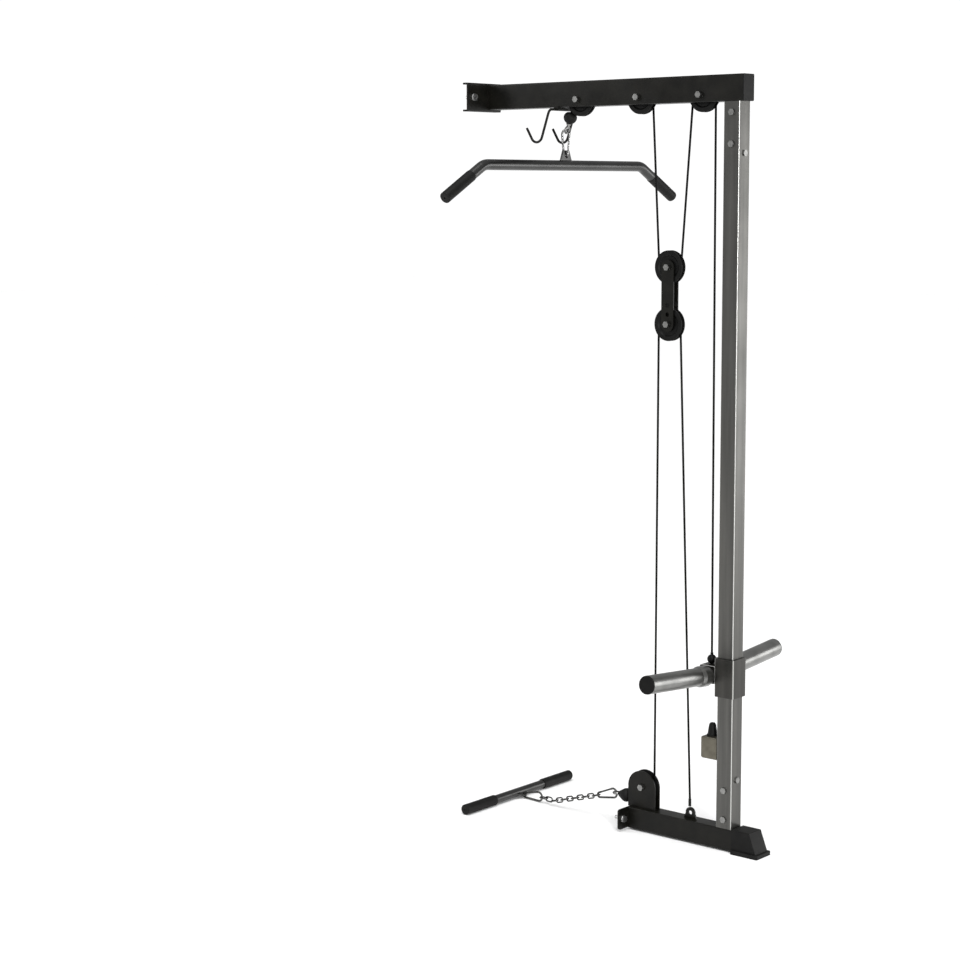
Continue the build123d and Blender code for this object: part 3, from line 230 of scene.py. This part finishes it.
nylon = surface(
    "nylon", (0.0025, 0.0025, 0.0024), (0.005, 0.005, 0.0048), (0.34, 0.48), metallic=0.0,
    grain=60, bump=0.10, shine=0.13,
)
rubber = surface(
    "rubber", (0.0030, 0.0030, 0.0029), (0.0065, 0.0064, 0.0060), (0.46, 0.60), metallic=0.0,
    grain=45, bump=0.30, bump_scale=600, shine=0.16,
)
jacket = surface(
    "cable_jacket", (0.002, 0.002, 0.002), (0.004, 0.004, 0.004), (0.36, 0.46), metallic=0.0,
    grain=300, bump=0.1, shine=0.08,
)

FINISHES = {
    powder: ["top_beam", "top_bracket", "bottom_beam", "bottom_bracket", "upright_stubs",
             "low_pulley_plates", "cable_anchor_tab", "block_plates", "bar_hooks",
             "cable_anchor_loop"],
    powder_painted_edges: ["carriage_crossbar"],
    satin: ["upright"],
    sleeve: ["carriage_sleeve"],
    stub_steel: ["bumper_stub"],
    zinc: ["rack_bolts"],
    dull_zinc: ["upright_bolts", "beam_axles", "beam_spacers", "low_pulley_axle", "block_axles"],
    chrome: ["weight_posts", "post_collars"],
    fittings: ["lat_carabiner", "lat_gate", "lat_eye", "row_eye"],
    chain_steel: ["row_upper_carabiner", "row_upper_gate", "row_lower_carabiner", "row_lower_gate",
                  "row_chain_links"],
    bar_metal: ["lat_bar_tube", "lat_bar_lug", "row_handle_bar", "row_handle_lug"],
    nylon: ["front_pulley", "middle_pulley", "rear_pulley", "low_pulley", "block_upper_pulley",
            "block_lower_pulley", "carriage_glides", "top_beam_cap", "post_caps",
            "carriage_cable_ball"],
    rubber: ["rear_foot", "bumper", "lat_stop_ball", "row_stop_ball", "lat_bar_grips",
             "row_handle_grips"],
}
for material, names in FINISHES.items():
    for name in names:
        mesh = nodes[name].data
        mesh.materials.clear()
        mesh.materials.append(material)


# ---- cables ----------------------------------------------------------------------------------
def mesh_object(name, bm, material):
    """A smooth-shaded object made from bm, which is freed."""
    mesh = bpy.data.meshes.new(name)
    bm.to_mesh(mesh)
    bm.free()
    for polygon in mesh.polygons:
        polygon.use_smooth = True
    mesh.materials.append(material)
    made = bpy.data.objects.new(name, mesh)
    bpy.context.scene.collection.objects.link(made)
    return made


def swept(name, points, radius, material):
    """A round tube along points in the plane x = 0, each given as (y, z), with closed ends."""
    bm = bmesh.new()
    path = [Vector((0, *point)) for point in points]
    rings = []
    for i, point in enumerate(path):
        along = (path[min(i + 1, len(path) - 1)] - path[max(i - 1, 0)]).normalized()
        side = Vector((1, 0, 0))
        other = along.cross(side)
        angles = [2 * math.pi * k / CABLE_SIDES for k in range(CABLE_SIDES)]
        rings.append([
            bm.verts.new(point + side * radius * math.cos(a) + other * radius * math.sin(a))
            for a in angles
        ])
    for ring, following in zip(rings, rings[1:]):
        for k in range(CABLE_SIDES):
            after = (k + 1) % CABLE_SIDES
            bm.faces.new((ring[k], ring[after], following[after], following[k]))
    bm.faces.new(rings[0])
    bm.faces.new(list(reversed(rings[-1])))
    bmesh.ops.recalc_face_normals(bm, faces=bm.faces)
    return mesh_object(name, bm, material)


def tangent(start, end):
    """The straight run between two stations (y, z, turn, radius), as its two end points."""
    y1, z1, turn1, radius1 = start
    y2, z2, turn2, radius2 = end
    length = math.hypot(y2 - y1, z2 - z1)
    swing = math.asin((turn2 * radius2 - turn1 * radius1) / length)
    heading = math.atan2(z2 - z1, y2 - y1) - swing
    normal = (-math.sin(heading), math.cos(heading))
    leave = (y1 - turn1 * radius1 * normal[0], z1 - turn1 * radius1 * normal[1])
    reach = (y2 - turn2 * radius2 * normal[0], z2 - turn2 * radius2 * normal[1])
    return leave, reach


def bend(station, first, last):
    """Points on the arc of cable round a station."""
    y, z, turn, radius = station
    start = math.atan2(first[1] - z, first[0] - y)
    angle = (math.atan2(last[1] - z, last[0] - y) - start) * turn % (2 * math.pi)
    turns = [start + turn * angle * i / BEND_STEPS for i in range(BEND_STEPS + 1)]
    return [(y + radius * math.cos(a), z + radius * math.sin(a)) for a in turns]


# stations in order along each cable: (y, z, way round, radius), with 0, 0 at an end
lat_route = [
    (*LAT_STOP, 0, 0),
    (*FRONT_PULLEY, -1, GROOVE),
    (*MIDDLE_PULLEY, -1, GROOVE),
    (*BLOCK_UPPER, 1, GROOVE),
    (*REAR_PULLEY, -1, GROOVE),
    (*CARRIAGE_NECK, 0, 0),
]
row_route = [
    (*ROW_STOP, 0, 0),
    (*LOW_PULLEY, 1, GROOVE),
    (*BLOCK_LOWER, -1, GROOVE),
    (*ANCHOR_TOP, 0, 0),
]
lat_runs = [tangent(a, b) for a, b in zip(lat_route, lat_route[1:])]
row_runs = [tangent(a, b) for a, b in zip(row_route, row_route[1:])]


def moving_run(name, fixed, moving, cad_node):
    """A straight run from a point on the frame to a point that moves with a body."""
    made = swept(name, [fixed, moving], CABLE_RADIUS, jacket)
    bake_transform(made)
    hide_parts(cad_node)


moving_run("lat_cable_drop", lat_runs[0][1], lat_runs[0][0], "cable_lat_run")
moving_run("lat_cable_to_carriage", lat_runs[4][0], lat_runs[4][1], "cable_carriage_run")
moving_run("row_cable_pull", row_runs[0][1], row_runs[0][0], "cable_row_run")
moving_run("lat_cable_into_block", lat_runs[2][0], lat_runs[2][1], "cable_block_runs")
moving_run("lat_cable_out_of_block", lat_runs[3][1], lat_runs[3][0], "cable_block_runs")
moving_run("row_cable_into_block", row_runs[1][0], row_runs[1][1], "cable_block_runs")
moving_run("row_cable_out_of_block", row_runs[2][1], row_runs[2][0], "cable_block_runs")

frame_bends = [
    ("lat_cable_over_beam", bend(lat_route[1], lat_runs[0][1], lat_runs[1][0])
     + bend(lat_route[2], lat_runs[1][1], lat_runs[2][0])),
    ("lat_cable_over_rear_pulley", bend(lat_route[4], lat_runs[3][1], lat_runs[4][0])),
    ("row_cable_round_low_pulley", bend(row_route[1], row_runs[0][1], row_runs[1][0])),
]
block_bends = [
    ("lat_cable_under_block", bend(lat_route[3], lat_runs[2][1], lat_runs[3][0])),
    ("row_cable_over_block", bend(row_route[2], row_runs[1][1], row_runs[2][0])),
]
for bends, body, cad_node in (
    (frame_bends, "frame", "cable_frame_bends"),
    (block_bends, "block", "cable_block_bends"),
):
    for name, points in bends:
        made = swept(name, points, CABLE_RADIUS, jacket)
        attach(made, body)
        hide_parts(cad_node)


# ---- floor, light and camera -----------------------------------------------------------------
FLOOR_SIZE = 60
FLOOR_DROP = 0.0005  # the floor lies this far under the foot, so that the two don't share a face
FLOOR_TONE = 0.90
FLOOR_CONTRAST = 1.03  # its lighter tone over its darker one
FLOOR_GRAIN = 2.0
FLOOR_ROUGHNESS = 0.9


def pale(name, colour):
    """A matt, nearly even tone for the floor."""
    material, tree, shader = new_material(name)
    coords = tree.nodes.new("ShaderNodeTexCoord").outputs["Object"]
    spots = noise(tree, coords, FLOOR_GRAIN, SOFT_DETAIL)
    tones = ramp(tree, spots, list(zip(TONE_SPAN, (colour, colour * FLOOR_CONTRAST))))
    tree.links.new(tones, shader.inputs["Base Color"])
    shader.inputs["Roughness"].default_value = FLOOR_ROUGHNESS
    return material


bpy.ops.mesh.primitive_plane_add(size=FLOOR_SIZE, location=(0, 0, -FLOOR_DROP))
floor = bpy.context.object
floor.name = "studio_floor"
floor.data.materials.append(pale("floor", FLOOR_TONE))

# the sky is white where it is seen, and dimmer where it lights the object
SKY_LIGHTING = 0.42
SKY_SEEN = 1.05
world = bpy.data.worlds.new("studio")
bpy.context.scene.world = world
world.use_nodes = True
background = world.node_tree.nodes["Background"]
background.inputs["Color"].default_value = (1, 1, 1, 1)
seen = world.node_tree.nodes.new("ShaderNodeLightPath").outputs["Is Camera Ray"]
strength = world.node_tree.nodes.new("ShaderNodeMapRange")
strength.inputs["To Min"].default_value = SKY_LIGHTING
strength.inputs["To Max"].default_value = SKY_SEEN
world.node_tree.links.new(seen, strength.inputs["Value"])
world.node_tree.links.new(strength.outputs["Result"], background.inputs["Strength"])
bpy.context.scene.view_settings.view_transform = "Standard"

SUN_STRENGTH = 2.45
SUN_SPREAD = math.radians(50)
SUN_TILT = (math.radians(-14), math.radians(16), 0)

sun_data = bpy.data.lights.new("overhead", "SUN")
sun_data.energy = SUN_STRENGTH
sun_data.angle = SUN_SPREAD
sun = bpy.data.objects.new("overhead", sun_data)
sun.rotation_euler = SUN_TILT
bpy.context.scene.collection.objects.link(sun)


def area_light(name, place, target, size, power, size_y=None):
    """A panel at place that faces target; size_y makes it a rectangle."""
    data = bpy.data.lights.new(name, "AREA")
    data.energy = power
    data.size = size
    if size_y:
        data.shape = "RECTANGLE"
        data.size_y = size_y
    lamp = bpy.data.objects.new(name, data)
    lamp.location = place
    lamp.rotation_euler = (Vector(target) - Vector(place)).to_track_quat("-Z", "Y").to_euler()
    bpy.context.scene.collection.objects.link(lamp)


area_light("rear_panel", (-4.8, 4.4, 1.0), (0, 0, 0.9), size=2.4, power=110, size_y=3.0)
area_light("corner_strip", (3.2, 3.6, 2.2), (0, 0, 1.1), size=0.35, power=110, size_y=2.4)
area_light("front_high", (2.5, -3.5, 3.2), (0, -0.4, 1.2), size=1.2, power=40)

CAMERA_PLACE = (4.70948, 3.07858, 1.7810)
CAMERA_GAZE = (-0.75215825, -0.64529108, -0.13363155)
CAMERA_ROLL = math.radians(-0.206)
CAMERA_LENS = 79.606  # in millimetres, as the sensor is
CAMERA_SENSOR = 36.0
CAMERA_REACH = 100

camera_data = bpy.data.cameras.new("camera")
camera_data.sensor_width = CAMERA_SENSOR
camera_data.lens = CAMERA_LENS
camera_data.clip_end = CAMERA_REACH
camera = bpy.data.objects.new("camera", camera_data)
bpy.context.scene.collection.objects.link(camera)
gaze = Vector(CAMERA_GAZE).normalized()
right = gaze.cross(Vector((0, 0, 1))).normalized()
up = right.cross(gaze)
rolled_right = right * math.cos(CAMERA_ROLL) + up * math.sin(CAMERA_ROLL)
rolled_up = up * math.cos(CAMERA_ROLL) - right * math.sin(CAMERA_ROLL)
turned = Matrix((rolled_right, rolled_up, -gaze)).transposed().to_4x4()
camera.matrix_world = Matrix.Translation(CAMERA_PLACE) @ turned
bpy.context.scene.camera = camera
